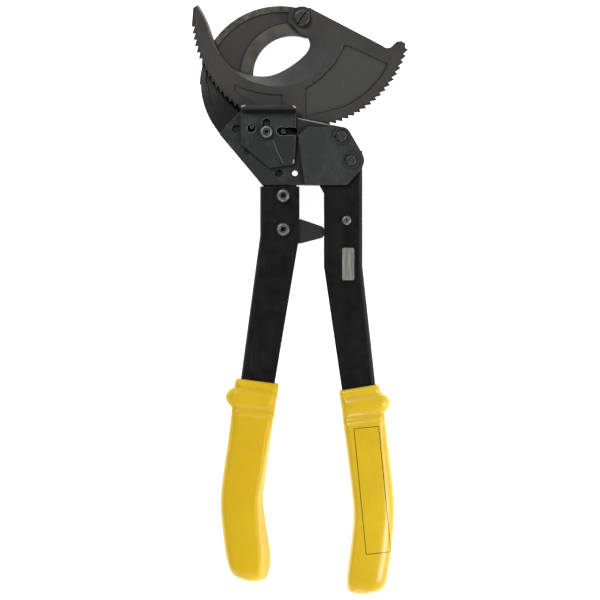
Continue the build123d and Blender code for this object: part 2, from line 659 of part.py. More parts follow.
add("front_cheek", cheek(CHANNEL_TOP_Z), DARK)
add("back_cheek", cheek(CHEEK_BACK_Z), DARK)
add("moving_handle_channel", moving_handle(), BLACK)
add("brace_screw", brace_screw(), BRIGHT)
add("brace_sleeve", tube(BRACE_SCREW, 4.0, BRACE_R, FLANGE_BACK_Z, FLANGE_TOP_Z), BRIGHT)
add("brace_nut", lock_nut(BRACE_SCREW, 7.0, BRACE_R, CHANNEL_BACK_Z - M4_NUT, CHANNEL_BACK_Z), BRIGHT)
add("fixed_handle_channel", fixed_handle(), BLACK)
block = slab(rounded(BLOCK, 1.0), SHEAR_Z, FLANGE_TOP_Z)
add("handle_spacer_block", block - rod(UPPER_SCREW, M6_R, 0, LIP_TOP_Z), DARK)
add("handle_screw_upper", handle_screw(UPPER_SCREW), DARK)
add("handle_screw_lower", handle_screw(LOWER_SCREW), DARK)
nuts = [lock_nut(at, 10.0, M6_R, CHANNEL_BACK_Z - M6_NUT, CHANNEL_BACK_Z) for at in HANDLE_SCREWS]
add("handle_nuts", Compound(children=nuts), BRIGHT)
add("handle_stop", handle_stop(), DARK)
fixed_core = polygon(FIXED_WEB + FIXED_OPEN[::-1])
moving_core = polygon(MOVING_WEB + MOVING_OPEN[::-1])
add("left_grip", grip(LEFT_GRIP, LEFT_GRIP_ROUNDS, fixed_core, GRIP_EDGE), YELLOW)
add("right_grip", grip(RIGHT_GRIP, RIGHT_GRIP_ROUNDS, moving_core, GRIP_EDGE), YELLOW)

boxes = [solid.bounding_box() for solid, _ in pieces.values()]
MIDDLE_X = (min(b.min.X for b in boxes) + max(b.max.X for b in boxes)) / 2
MIDDLE_Y = (min(b.min.Y for b in boxes) + max(b.max.Y for b in boxes)) / 2
print("blade pivot in the tool's frame:", -MIDDLE_X, -MIDDLE_Y)

os.makedirs("parts", exist_ok=True)
for name, (solid, colour) in pieces.items():
    placed = Pos(-MIDDLE_X, -MIDDLE_Y, 0) * solid
    placed.label = name
    placed.color = colour
    export_step(placed, f"parts/{name}.step")
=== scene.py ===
import math

import bmesh
import bpy
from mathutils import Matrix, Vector


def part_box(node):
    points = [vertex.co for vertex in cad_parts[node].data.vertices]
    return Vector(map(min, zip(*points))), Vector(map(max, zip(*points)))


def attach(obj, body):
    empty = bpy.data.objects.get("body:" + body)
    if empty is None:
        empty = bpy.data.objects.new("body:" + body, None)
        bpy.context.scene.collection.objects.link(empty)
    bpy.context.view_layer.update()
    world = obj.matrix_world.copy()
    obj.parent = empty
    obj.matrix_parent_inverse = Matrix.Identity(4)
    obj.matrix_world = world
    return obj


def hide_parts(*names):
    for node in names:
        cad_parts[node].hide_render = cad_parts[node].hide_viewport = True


# Looks for the ratchet cable cutter. Plan places are millimetres from the blade
# pivot, as in the part's own drawing, and heights are millimetres above the rest
# face; at() turns them into the frame's metres.

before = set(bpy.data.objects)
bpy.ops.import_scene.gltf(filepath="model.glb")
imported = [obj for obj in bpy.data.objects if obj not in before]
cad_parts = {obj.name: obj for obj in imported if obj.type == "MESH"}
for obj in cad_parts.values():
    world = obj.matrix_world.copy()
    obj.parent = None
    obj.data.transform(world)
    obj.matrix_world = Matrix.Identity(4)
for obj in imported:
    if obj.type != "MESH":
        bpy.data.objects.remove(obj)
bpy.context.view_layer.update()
MM = 0.001


def middle(node):
    """The middle of a node's box, in metres."""
    low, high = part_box(node)
    return (low + high) / 2


PIVOT = middle("blade_pivot_bolt")


def at(x, y, z=0.0):
    """A place measured from the blade pivot in millimetres, in the frame."""
    return Vector((PIVOT.x + x * MM, PIVOT.y + y * MM, z * MM))


# ---- places on the tool, in millimetres from the blade pivot ----
HOOK_CENTRE = (-16.7, -51.7)
HOOK_RIM_INSIDE_R = 56.7
THROAT_CENTRE = (-7.2, -43.1)
LAND_R = 39.5
JAW_FACE_Z = 13.5
# places along Y between which the rim's olive wear comes in and the field's shade goes
OLIVE_FROM_Y, OLIVE_TO_Y = -49, -41
SHADE_FROM_Y, SHADE_TO_Y = -66, -50
TOOTH_ROOT_R = 81.7
PANEL_Z = 20.6
# the panels' floors lie above these heights and below PANEL_Z
PANEL_FLOOR_FROM_Z, PANEL_FLOOR_TO_Z = 19.0, 19.5
# painted shade: the ground bevel darkens from its bright stretch to the pivot's side
BEVEL_BRIGHT_X, BEVEL_DARK_X = -40, -4
LONG_SCRATCH = [(-22.0, -93.7), (-19.2, -100.7), (-14.2, -110.6)]
SCREWS = [(-27.0, -86.8), (-14.3, -135.1), (-14.3, -160.7)]
# radii of the painted highlight ring on each screw head and of the painted shade in its socket
SCREW_RING_R = 3.6
SOCKET_R = 2.0
# where the cheek and the release plate shade the front plate
SHADOW_STRIPS = [((-3.4, -97.0), (2.2, -126.0)), ((-3.6, -85.0), (-3.4, -97.0))]
TETHER = (-5.4, -118.0)
# radius of the painted shade round the tether hole
TETHER_RING_R = 3.8
LIP_SHADOW = [(-45.0, -71.4), (-5.0, -71.4)]
# painted highlights: glints on the ends of the release plate's lip and on one more corner
PAINTED_CORNER_GLINTS = [
    ((-45.4, -67.6), (-43.4, -67.2)),
    ((-6.4, -67.4), (-4.9, -68.6)),
    ((-6.6, -110.2), (-6.2, -108.4)),
]
# painted highlight along the front plate's top edge
PAINTED_EDGE_HIGHLIGHT = [(-3.6, -76.1), (22.3, -81.7)]
# centre, width, length, lean in degrees and line width of the frame on the right sleeve
PRINTED_FRAME = ((53.4, -358.6), 18.8, 95.6, 5.6, 0.6)
CHANNEL_TOP_Z = 24.6
BADGE_CENTRE = (35.0, -187.0)
BADGE_WIDTH, BADGE_LENGTH, BADGE_CORNER = 9.2, 24.6, 1.4
BADGE_SINK, BADGE_THICK, BADGE_BEVEL = 0.02, 0.4, 0.12

# ---- camera and light ----
VIEW_CENTRE = (-1.52, -214.32)
CAMERA_HEIGHT = 3.0
OBJECT_HEIGHT = 0.02
FIELD = 0.456  # metres across the view at the object
SENSOR = 36.0
WALL_LIGHT = 0.6
CEILING_LIGHT = 0.06
WALL_TOP, CEILING_START = 0.15, 0.85  # upward part of a direction, 0 level to 1 straight up
# name, place and size in metres, and power in watts
SOFT_BOXES = [
    ("key_upper_left", (-0.8, 1.35, 1.55), 0.55, 28),
    ("fill_right", (1.42, -0.5, 1.1), 0.85, 24),
    ("fill_low", (-0.2, -1.9, 0.75), 0.8, 13),
]
FLOOR_HALF = 3.0
FLOOR_Z = -0.0006  # just under the rest face, so that the two never flicker


# ======================================================================
# node materials
# ======================================================================
EDGE_SAMPLES = 6
# shares of a stroke's width, and of half a frame line's, between which it fades out
STROKE_FADE = (0.3, 0.7)
LINE_FADE = (0.7, 1.3)


class Shader:
    """A node material, with short calls for the nodes that the finishes share."""

    def __init__(self, name):
        self.material = bpy.data.materials.new(name)
        self.material.use_nodes = True
        self.tree = self.material.node_tree
        self.surface = self.tree.nodes["Principled BSDF"]
        self.place = self.node("ShaderNodeTexCoord").outputs["Object"]

    def node(self, kind, **settings):
        made = self.tree.nodes.new(kind)
        for name, value in settings.items():
            setattr(made, name, value)
        return made

    def put(self, socket, value):
        """Link a socket or set a constant."""
        if isinstance(value, bpy.types.NodeSocket):
            self.tree.links.new(value, socket)
        else:
            socket.default_value = value

    def math(self, operation, a, b=0.0, clamp=False):
        made = self.node("ShaderNodeMath", operation=operation, use_clamp=clamp)
        self.put(made.inputs[0], a)
        self.put(made.inputs[1], b)
        return made.outputs[0]

    def noise(self, scale, detail=3.0, roughness=0.55, stretch=None):
        """Noise of a given scale per metre, from 0 to 1."""
        place = self.place
        if stretch:
            mapping = self.node("ShaderNodeMapping")
            mapping.inputs["Scale"].default_value = stretch
            self.put(mapping.inputs["Vector"], place)
            place = mapping.outputs[0]
        made = self.node("ShaderNodeTexNoise")
        self.put(made.inputs["Vector"], place)
        made.inputs["Scale"].default_value = scale
        made.inputs["Detail"].default_value = detail
        made.inputs["Roughness"].default_value = roughness
        return made.outputs["Fac"]

    def ramp(self, value, low, high, out_low=0.0, out_high=1.0):
        """A smooth step from out_low to out_high as value goes from low to high."""
        made = self.node("ShaderNodeMapRange", interpolation_type="SMOOTHSTEP")
        self.put(made.inputs["Value"], value)
        made.inputs["From Min"].default_value = low
        made.inputs["From Max"].default_value = high
        made.inputs["To Min"].default_value = out_low
        made.inputs["To Max"].default_value = out_high
        return made.outputs["Result"]

    def mix(self, share, a, b):
        """Two colours mixed, from all a at share 0 to all b at share 1."""
        made = self.node("ShaderNodeMix", data_type="RGBA")
        self.put(made.inputs[0], share)
        self.put(made.inputs[6], a)
        self.put(made.inputs[7], b)
        return made.outputs[2]

    def axes(self, vector=None):
        """X, Y and Z of the place, or of another vector."""
        made = self.node("ShaderNodeSeparateXYZ")
        self.put(made.inputs[0], vector or self.place)
        return made.outputs

    def upright(self):
        """The upward part of the surface's normal, 1 where it faces straight up."""
        return self.axes(self.node("ShaderNodeTexCoord").outputs["Normal"])[2]

    def offsets(self, point):
        """Metres from a point to the place, across and along the plan."""
        x, y, _ = self.axes()
        return self.math("SUBTRACT", x, point.x), self.math("SUBTRACT", y, point.y)

    def products(self, a, b, c, d):
        """a times b plus c times d."""
        return self.math("ADD", self.math("MULTIPLY", a, b), self.math("MULTIPLY", c, d))

    def distance(self, centre):
        """Plan distance in metres from a plan point."""
        dx, dy = self.offsets(at(*centre))
        return self.math("SQRT", self.products(dx, dx, dy, dy))

    def edges(self, width):
        """How near a sharp edge the surface is, from 0 to 1, and its rounded normal.

        width is the rounding's radius in millimetres."""
        soft = self.node("ShaderNodeBevel", samples=EDGE_SAMPLES)
        soft.inputs["Radius"].default_value = width * MM
        geometry = self.node("ShaderNodeNewGeometry")
        dot = self.node("ShaderNodeVectorMath", operation="DOT_PRODUCT")
        self.put(dot.inputs[0], soft.outputs[0])
        self.put(dot.inputs[1], geometry.outputs["Normal"])
        near = self.ramp(self.math("SUBTRACT", 1.0, dot.outputs["Value"]), 0.01, 0.22)
        return near, soft.outputs[0]

    def frame_line(self, centre, width, length, lean, line):
        """An empty rectangle's outline in plan, 1 on its line and 0 elsewhere, in millimetres."""
        dx, dy = self.offsets(at(*centre))
        turn = math.radians(lean)
        across = self.products(dx, math.cos(turn), dy, math.sin(turn))
        along = self.products(dy, math.cos(turn), dx, -math.sin(turn))
        half = line / 2 * MM
        outside = self.math(
            "MAXIMUM",
            self.math("SUBTRACT", self.math("ABSOLUTE", across), width / 2 * MM),
            self.math("SUBTRACT", self.math("ABSOLUTE", along), length / 2 * MM),
        )
        away = self.math("ABSOLUTE", outside)
        return self.ramp(away, half * LINE_FADE[0], half * LINE_FADE[1], 1.0, 0.0)

    def stroke(self, start, end, width):
        """A line between two plan points, 1 on it and 0 elsewhere, with its width in millimetres."""
        span = at(*end) - at(*start)
        dx, dy = self.offsets(at(*start))
        reach = self.products(dx, span.x, dy, span.y)
        reach = self.math("DIVIDE", reach, span.length_squared, clamp=True)
        ex = self.math("SUBTRACT", dx, self.math("MULTIPLY", reach, span.x))
        ey = self.math("SUBTRACT", dy, self.math("MULTIPLY", reach, span.y))
        away = self.math("SQRT", self.products(ex, ex, ey, ey))
        return self.ramp(away, width * STROKE_FADE[0] * MM, width * STROKE_FADE[1] * MM, 1.0, 0.0)

    def crevice(self, reach):
        """How hidden a place is by what stands within reach millimetres, from 0 to 1."""
        made = self.node("ShaderNodeAmbientOcclusion", samples=EDGE_SAMPLES)
        made.inputs["Distance"].default_value = reach * MM
        return self.math("SUBTRACT", 1.0, made.outputs["AO"])

    def bump(self, height, strength, depth, normal=None):
        """A bump of a given depth in millimetres."""
        made = self.node("ShaderNodeBump")
        made.inputs["Strength"].default_value = strength
        made.inputs["Distance"].default_value = depth * MM
        self.put(made.inputs["Height"], height)
        if normal is not None:
            self.put(made.inputs["Normal"], normal)
        return made.outputs[0]

    def finish(self, colour, roughness, normal, metallic=0.0):
        self.put(self.surface.inputs["Base Color"], colour)
        self.put(self.surface.inputs["Roughness"], roughness)
        self.put(self.surface.inputs["Normal"], normal)
        self.put(self.surface.inputs["Metallic"], metallic)
        return self.material


def grey(red, green, blue):
    """A linear colour from display values of 0 to 255, by the sRGB curve."""
    linear = []
    for value in (red, green, blue):
        share = value / 255
        if value > 10:
            linear.append(((share + 0.055) / 1.055) ** 2.4)
        else:
            linear.append(share / 12.92)
    return (*linear, 1.0)


def black(level):
    """A nearly black linear grey."""
    return (level, level, level, 1)


# near-black greys for painted shade in crevices, sockets, under the lip and on the front plate, and for
# the darkened teeth
PAINTED_SHADE = black(0.006)
DARK_TEETH_AND_CREVICE_SHADE = black(0.01)
LIP_SHADE = black(0.004)
PLATE_SHADE = black(0.008)
BLACKENED_METAL = 0.25


def worn_metal(
    name, base, dark, worn, rough=0.5, grain=(0.5, 0.05), wear=0.5, edge=0.5, tint=None, zones=None
):
    """A blackened steel: cloudy colour, fine grain, bright worn edges and painted shade in its corners.

    grain is the bump's strength and depth; zones may recolour places before wear."""
    s = Shader(name)
    cloud = s.noise(55, 4, 0.6)
    fine = s.noise(900, 4, 0.65)
    pits = s.noise(2600, 2, 0.5)
    colour = s.mix(s.ramp(cloud, 0.3, 0.72), dark, base)
    colour = s.mix(s.ramp(fine, 0.35, 0.75, 0.0, 0.5), colour, dark)
    if tint:
        colour = s.mix(s.ramp(s.noise(28, 3), 0.45, 0.75, 0.0, 0.6), colour, tint)
    roughness = s.ramp(cloud, 0.25, 0.75, rough + 0.08, rough - 0.05)
    if zones:
        colour, roughness = zones(s, colour, roughness)
    near, rounded = s.edges(edge)
    broken = s.math("MULTIPLY", near, s.ramp(s.noise(420, 3), 0.35, 0.62))
    amount = s.math("MULTIPLY", s.math("ADD", broken, s.math("MULTIPLY", near, 0.35)), wear, clamp=True)
    colour = s.mix(amount, colour, worn)
    # painted shade: places hidden by nearby surfaces are darkened towards near black
    wide = s.math("MULTIPLY", s.crevice(4.0), 0.85)
    tight = s.math("MULTIPLY", s.crevice(2.2), 1.9)
    colour = s.mix(s.math("MAXIMUM", wide, tight, clamp=True), colour, PAINTED_SHADE)
    height = s.math("ADD", s.math("MULTIPLY", fine, 0.7), s.math("MULTIPLY", pits, 0.3))
    normal = s.bump(height, grain[0], grain[1], rounded)
    return s.finish(colour, roughness, normal, BLACKENED_METAL)


SCRATCH_TURNS = (0.5, 2.1)  # radians
SCRATCH_STRETCH = (1.0, 0.03, 1.0)
SCRATCH_SCALE = 1560.0


def scratches(s, colour, bright, share):
    """Fine straight handling scratches in two directions."""
    for turn in SCRATCH_TURNS:
        mapping = s.node("ShaderNodeMapping")
        mapping.inputs["Rotation"].default_value = (0, 0, turn)
        mapping.inputs["Scale"].default_value = SCRATCH_STRETCH
        s.put(mapping.inputs["Vector"], s.place)
        made = s.node("ShaderNodeTexNoise")
        s.put(made.inputs["Vector"], mapping.outputs[0])
        made.inputs["Scale"].default_value = SCRATCH_SCALE
        made.inputs["Detail"].default_value = 2.0
        line = s.ramp(made.outputs["Fac"], 0.66, 0.72, 0.0, share)
        line = s.math("MULTIPLY", line, s.ramp(s.noise(45, 2), 0.5, 0.62))
        colour = s.mix(line, colour, bright)
    return colour


def jaw_zones(s, colour, roughness):
    """The hook's worn olive rim, painted shade over the lower part of its sunk field, and the ground land
    round the throat.
    """
    _, y, z = s.axes()
    front = s.ramp(z, JAW_FACE_Z * MM - 0.0006, JAW_FACE_Z * MM + 0.0001)
    high = s.ramp(y, at(0, OLIVE_FROM_Y).y, at(0, OLIVE_TO_Y).y)
    away = s.distance(HOOK_CENTRE)
    rim = s.ramp(away, (HOOK_RIM_INSIDE_R - 0.4) * MM, (HOOK_RIM_INSIDE_R + 0.2) * MM)
    olive = s.mix(s.ramp(s.noise(240, 4), 0.3, 0.7), grey(58, 57, 48), grey(100, 98, 82))
    colour = s.mix(s.math("MULTIPLY", s.math("MULTIPLY", rim, high), 0.9), colour, olive)
    land = s.ramp(s.distance(THROAT_CENTRE), (LAND_R - 0.3) * MM, (LAND_R + 0.3) * MM, 1.0, 0.0)
    land = s.math("MULTIPLY", land, front)
    brown = s.mix(s.ramp(s.noise(60, 3), 0.35, 0.68), grey(72, 68, 65), grey(98, 95, 89))
    colour = s.mix(s.math("MULTIPLY", land, 0.8), colour, brown)
    roughness = s.math("SUBTRACT", roughness, s.math("MULTIPLY", land, 0.12))
    # painted shade: the field darkens towards the bottom, away from the land
    low = s.ramp(y, at(0, SHADE_FROM_Y).y, at(0, SHADE_TO_Y).y, 0.9, 0.0)
    low = s.math("MULTIPLY", low, s.math("SUBTRACT", 1.0, land))
    return s.mix(low, colour, grey(20, 20, 20)), roughness


def blade_zones(s, colour, roughness):
    """The ground bevel with painted shade towards the pivot, the cooler sunk panels, and the teeth
    darkened from their roots outward.
    """
    upright = s.upright()
    slope = s.math("MULTIPLY", s.ramp(upright, 0.2, 0.4), s.ramp(upright, 0.94, 0.985, 1.0, 0.0))
    x, _, z = s.axes()
    bright = s.mix(s.ramp(s.noise(150, 3), 0.3, 0.7), grey(98, 99, 98), grey(112, 113, 112))
    painted_bevel_shade = s.ramp(x, at(BEVEL_BRIGHT_X, 0).x, at(BEVEL_DARK_X, 0).x)
    ground = s.mix(painted_bevel_shade, bright, grey(60, 60, 60))
    colour = s.mix(s.math("MULTIPLY", slope, 0.9), colour, ground)
    panel = s.ramp(z, PANEL_Z * MM - 0.0001, PANEL_Z * MM + 0.0002, 1.0, 0.0)
    flat = s.ramp(upright, 0.985, 0.995)
    above = s.ramp(z, PANEL_FLOOR_FROM_Z * MM, PANEL_FLOOR_TO_Z * MM)
    panel = s.math("MULTIPLY", s.math("MULTIPLY", panel, flat), above)
    colour = s.mix(s.math("MULTIPLY", panel, 0.55), colour, grey(68, 72, 69))
    # the teeth are darkened from their roots outward
    teeth = s.ramp(s.distance((0, 0)), TOOTH_ROOT_R * MM - 0.0012, TOOTH_ROOT_R * MM + 0.0006)
    colour = s.mix(s.math("MULTIPLY", teeth, 0.55), colour, DARK_TEETH_AND_CREVICE_SHADE)
    roughness = s.math("ADD", roughness, s.math("MULTIPLY", slope, 0.2))
    return scratches(s, colour, grey(120, 118, 112), share=0.25), roughness


def plate_zones(s, colour, roughness):
    """Handling scratches, and rubbed patches spread over the plate."""
    rubbed = s.math("MULTIPLY", s.ramp(s.noise(90, 3), 0.45, 0.7), 0.35)
    colour = s.mix(rubbed, colour, grey(66, 70, 68))
    return scratches(s, colour, grey(104, 108, 104), share=0.3), roughness


def release_zones(s, colour, roughness):
    """The plate's wear, painted shade under its lip, its one long scratch and painted highlights on its
    corners.
    """
    colour, roughness = plate_zones(s, colour, roughness)
    shadow = s.stroke(*LIP_SHADOW, 3.6)
    colour = s.mix(s.math("MULTIPLY", shadow, 0.92), colour, LIP_SHADE)
    roughness = s.math("MAXIMUM", roughness, shadow)
    for start, end in zip(LONG_SCRATCH, LONG_SCRATCH[1:]):
        scratch = s.math("MULTIPLY", s.stroke(start, end, 0.6), 0.38)
        colour = s.mix(scratch, colour, grey(130, 134, 130))
    for start, end in PAINTED_CORNER_GLINTS:
        # painted highlight on the corner
        corner = s.math("MULTIPLY", s.stroke(start, end, 1.1), 0.6)
        colour = s.mix(corner, colour, grey(190, 195, 190))
    return colour, roughness


def front_zones(s, colour, roughness):
    """The plate's wear, a painted highlight along its top edge, and painted shade by its neighbours and
    round its hole.
    """
    colour, roughness = plate_zones(s, colour, roughness)
    # painted highlight along the top edge
    edge = s.math("MULTIPLY", s.stroke(*PAINTED_EDGE_HIGHLIGHT, 1.1), 0.75)
    colour = s.mix(edge, colour, grey(170, 172, 166))
    for start, end in SHADOW_STRIPS:
        shade = s.math("MULTIPLY", s.stroke(start, end, 2.6), 0.75)
        colour = s.mix(shade, colour, PLATE_SHADE)
    away = s.distance(TETHER)
    # painted shade round the tether hole
    ring = s.ramp(away, (TETHER_RING_R - 0.4) * MM, (TETHER_RING_R + 0.4) * MM, 0.85, 0.0)
    return s.mix(ring, colour, PLATE_SHADE), roughness


def screw_zones(s, colour, roughness):
    """Painted highlight rings round the painted shade in the sockets of the three button-head screws."""
    for centre in SCREWS:
        away = s.distance(centre)
        # painted highlight: a bright ring on the domed head
        off_ring = s.math("ABSOLUTE", s.math("SUBTRACT", away, SCREW_RING_R * MM))
        ring = s.ramp(off_ring, 0.3 * MM, 1.0 * MM, 0.5, 0.0)
        ring = s.math("MULTIPLY", ring, s.ramp(s.noise(260, 2), 0.35, 0.65, 0.35, 1.0))
        colour = s.mix(ring, colour, grey(168, 172, 166))
        # painted shade in the socket
        socket = s.ramp(away, (SOCKET_R - 0.3) * MM, (SOCKET_R + 0.3) * MM, 0.9, 0.0)
        colour = s.mix(socket, colour, PAINTED_SHADE)
    return colour, roughness


def black_paint():
    """Semi-gloss stoving paint on the two channels, rubbed through along the bends."""
    s = Shader("channel_black_paint")
    cloud = s.noise(35, 3)
    peel = s.noise(1400, 2, 0.45)
    colour = s.mix(s.ramp(cloud, 0.3, 0.7), grey(13, 14, 13), grey(19, 20, 19))
    near, rounded = s.edges(1.0)
    chips = s.math("MULTIPLY", near, s.ramp(s.noise(650, 4, 0.7), 0.60, 0.68))
    colour = s.mix(s.math("MULTIPLY", near, 0.1), colour, grey(40, 41, 39))
    colour = s.mix(s.math("MULTIPLY", chips, 0.8), colour, grey(120, 118, 110))
    colour = scratches(s, colour, grey(70, 70, 68), share=0.3)
    roughness = s.ramp(s.noise(120, 3), 0.3, 0.7, 0.38, 0.52)
    s.surface.inputs["Specular IOR Level"].default_value = 0.2
    return s.finish(colour, roughness, s.bump(peel, 0.25, 0.05, rounded))


def zinc(name, base, dark, rough=0.32, wear=0.5):
    """Plated or plain bright steel on screws and pins, dulled by handling."""
    s = Shader(name)
    cloud = s.noise(400, 3)
    colour = s.mix(s.ramp(cloud, 0.3, 0.7), dark, base)
    turned = s.noise(3000, 2, 0.5)
    near, rounded = s.edges(0.35)
    colour = s.mix(s.math("MULTIPLY", near, wear), colour, grey(176, 176, 168))
    # painted shade in the crevices round screws and pins
    colour = s.mix(s.math("MULTIPLY", s.crevice(1.5), 0.8), colour, DARK_TEETH_AND_CREVICE_SHADE)
    roughness = s.ramp(cloud, 0.3, 0.7, rough + 0.12, rough)
    return s.finish(colour, roughness, s.bump(turned, 0.3, 0.03, rounded), 0.75)


def vinyl(name, gloss, printed=False):
    """Glossy golden vinyl, with a little orange peel, a painted highlight along its edges, and painted
    shade in its creases and on its sideways faces.

    printed adds the empty frame that stands on the right sleeve."""
    s = Shader(name)
    cloud = s.noise(16, 3)
    blotch = s.noise(120, 4, 0.6)
    colour = s.mix(s.ramp(cloud, 0.3, 0.7), grey(209, 171, 28), grey(219, 184, 33))
    colour = s.mix(s.ramp(blotch, 0.35, 0.75, 0.0, 0.35), colour, grey(203, 164, 34))
    near, rounded = s.edges(1.2)
    # painted highlight along the edges
    colour = s.mix(s.math("MULTIPLY", near, 0.5), colour, grey(252, 226, 70))
    # painted shade in creases
    crevice_shade = s.math("MULTIPLY", s.crevice(5.0), 0.55)
    colour = s.mix(crevice_shade, colour, grey(150, 104, 16))
    speck = s.ramp(s.noise(1500, 2), 0.72, 0.78, 0.0, 0.35)
    colour = s.mix(speck, colour, grey(130, 100, 30))
    upright = s.upright()
    if printed:
        front = s.ramp(upright, 0.1, 0.3)
        ink = s.math("MULTIPLY", s.frame_line(*PRINTED_FRAME), front)
        ink = s.math("MULTIPLY", ink, s.ramp(s.noise(700, 3), 0.3, 0.5, 0.55, 0.95))
        colour = s.mix(ink, colour, grey(52, 40, 10))
    # painted shade: faces that turn sideways are darker and deeper yellow
    colour = s.mix(s.ramp(upright, 0.0, 0.7, 0.85, 0.0), colour, grey(204, 176, 10))
    peel = s.math("ADD", s.noise(480, 2, 0.5), s.math("MULTIPLY", s.noise(70, 2, 0.5), 2.0))
    roughness = s.ramp(s.noise(180, 3), 0.3, 0.75, 0.36, 0.46)
    s.surface.inputs["Subsurface Weight"].default_value = 0.06
    s.surface.inputs["Subsurface Radius"].default_value = (0.9, 0.6, 0.15)
    s.surface.inputs["Subsurface Scale"].default_value = 0.0015
    s.surface.inputs["Specular IOR Level"].default_value = 0.2
    s.surface.inputs["Coat Weight"].default_value = gloss
    s.surface.inputs["Coat Roughness"].default_value = 0.27
    return s.finish(colour, roughness, s.bump(peel, 0.18, 0.12))


def brushed_badge():
    """Brushed blank alloy of the badge plate."""
    s = Shader("blank_badge_alloy")
    brush = s.noise(900, 3, 0.6, stretch=(1.0, 0.05, 1.0))
    colour = s.mix(s.ramp(brush, 0.3, 0.7), grey(132, 132, 124), grey(168, 168, 160))
    near, rounded = s.edges(0.3)
    colour = s.mix(s.math("MULTIPLY", near, 0.6), colour, grey(96, 96, 90))
    return s.finish(colour, s.ramp(brush, 0.3, 0.7, 0.38, 0.5), s.bump(brush, 0.3, 0.03, rounded), 0.6)


# ======================================================================
# pieces made here
# ======================================================================
SHORTEST_SPAN = 0.2
TINY = 1e-9
WELD = 1e-6  # metres


def smooth(rows, count):
    """Rows of numbers, resampled along a smooth curve through them.

    The curve's steps follow the root of the distance between the rows' first two
    numbers, and a number that turns back at a row is level there."""
    spans = []
    for a, b in zip(rows, rows[1:]):
        spans.append(max(SHORTEST_SPAN, math.dist(a[:2], b[:2])) ** 0.5)
    places = [0.0]
    for span in spans:
        places.append(places[-1] + span)
    made = []
    for n in range(count):
        t = places[-1] * n / (count - 1)
        k = max(i for i in range(len(spans)) if places[i] <= t + TINY)
        u = (t - places[k]) / spans[k]
        before = rows[max(k - 1, 0)]
        a, b = rows[k], rows[k + 1]
        after = rows[min(k + 2, len(rows) - 1)]
        row = []
        for p, q, r, v in zip(before, a, b, after):
            m0, m1 = (r - p) / 2, (v - q) / 2
            if (q - p) * (r - q) <= 0:
                m0 = 0.0
            if (r - q) * (v - r) <= 0:
                m1 = 0.0
            u2, u3 = u * u, u * u * u
            row.append(
                (2 * u3 - 3 * u2 + 1) * q
                + (u3 - 2 * u2 + u) * m0
                + (3 * u2 - 2 * u3) * r
                + (u3 - u2) * m1
            )
        made.append(row)
    return made


CORNER_STEPS = 8
# the largest shares of a ring's width or height that its facet and a corner may take
FACET_LIMIT = 0.2
CORNER_LIMIT = 0.49


def sleeve_ring(outer, inner, low, high, outer_round, inner_round, facet):
    """One closed ring round a sleeve, between its two plan points.

    outer_round and inner_round are the corner sizes in plan and height; facet draws the
    front inner corner back, which leaves a slanted strip along that side."""
    across = Vector((inner[0] - outer[0], inner[1] - outer[1]))
    width = across.length
    thick = high - low
    facet = min(facet, width * FACET_LIMIT)
    outer_x = min(outer_round[0], width * CORNER_LIMIT)
    inner_x = min(inner_round[0], width * CORNER_LIMIT - facet)
    outer_z = min(outer_round[1], thick * CORNER_LIMIT)
    inner_z = min(inner_round[1], thick * CORNER_LIMIT)
    corners = [
        (width - inner_x, low + inner_z, inner_x, inner_z, -90),
        (width - inner_x - facet, high - inner_z, inner_x, inner_z, 0),
        (outer_x, high - outer_z, outer_x, outer_z, 90),
        (outer_x, low + outer_z, outer_x, outer_z, 180),
    ]
    ring = []
    for along, z, rx, rz, start in corners:
        for step in range(CORNER_STEPS + 1):
            turn = math.radians(start + 90 * step / CORNER_STEPS)
            share = (along + rx * math.cos(turn)) / width
            height = z + rz * math.sin(turn)
            ring.append((outer[0] + across.x * share, outer[1] + across.y * share, height))
    return ring


def loft(name, rings):
    """A mesh through closed rings of equal length, with its ends fanned shut."""
    verts, faces = [], []
    size = len(rings[0])
    for ring in rings:
        verts.extend(at(*point) for point in ring)
    for n in range(len(rings) - 1):
        for k in range(size):
            a = n * size + k
            b = n * size + (k + 1) % size
            faces.append((a, b, b + size, a + size))
    for n, flip in ((0, True), (len(rings) - 1, False)):
        centre = sum((Vector(verts[n * size + k]) for k in range(size)), Vector()) / size
        verts.append(centre)
        for k in range(size):
            a = n * size + k
            b = n * size + (k + 1) % size
            faces.append((b, a, len(verts) - 1) if flip else (a, b, len(verts) - 1))
    mesh = bpy.data.meshes.new(name)
    mesh.from_pydata(verts, [], faces)
    mesh.validate()
    obj = bpy.data.objects.new(name, mesh)
    bpy.context.scene.collection.objects.link(obj)
    recalculate(obj)
    mesh.shade_smooth()
    return obj


def recalculate(obj):
    """Turn every face of a closed mesh outwards."""
    work = bmesh.new()
    work.from_mesh(obj.data)
    bmesh.ops.remove_doubles(work, verts=work.verts, dist=WELD)
    bmesh.ops.recalc_face_normals(work, faces=work.faces)
    work.to_mesh(obj.data)
    work.free()


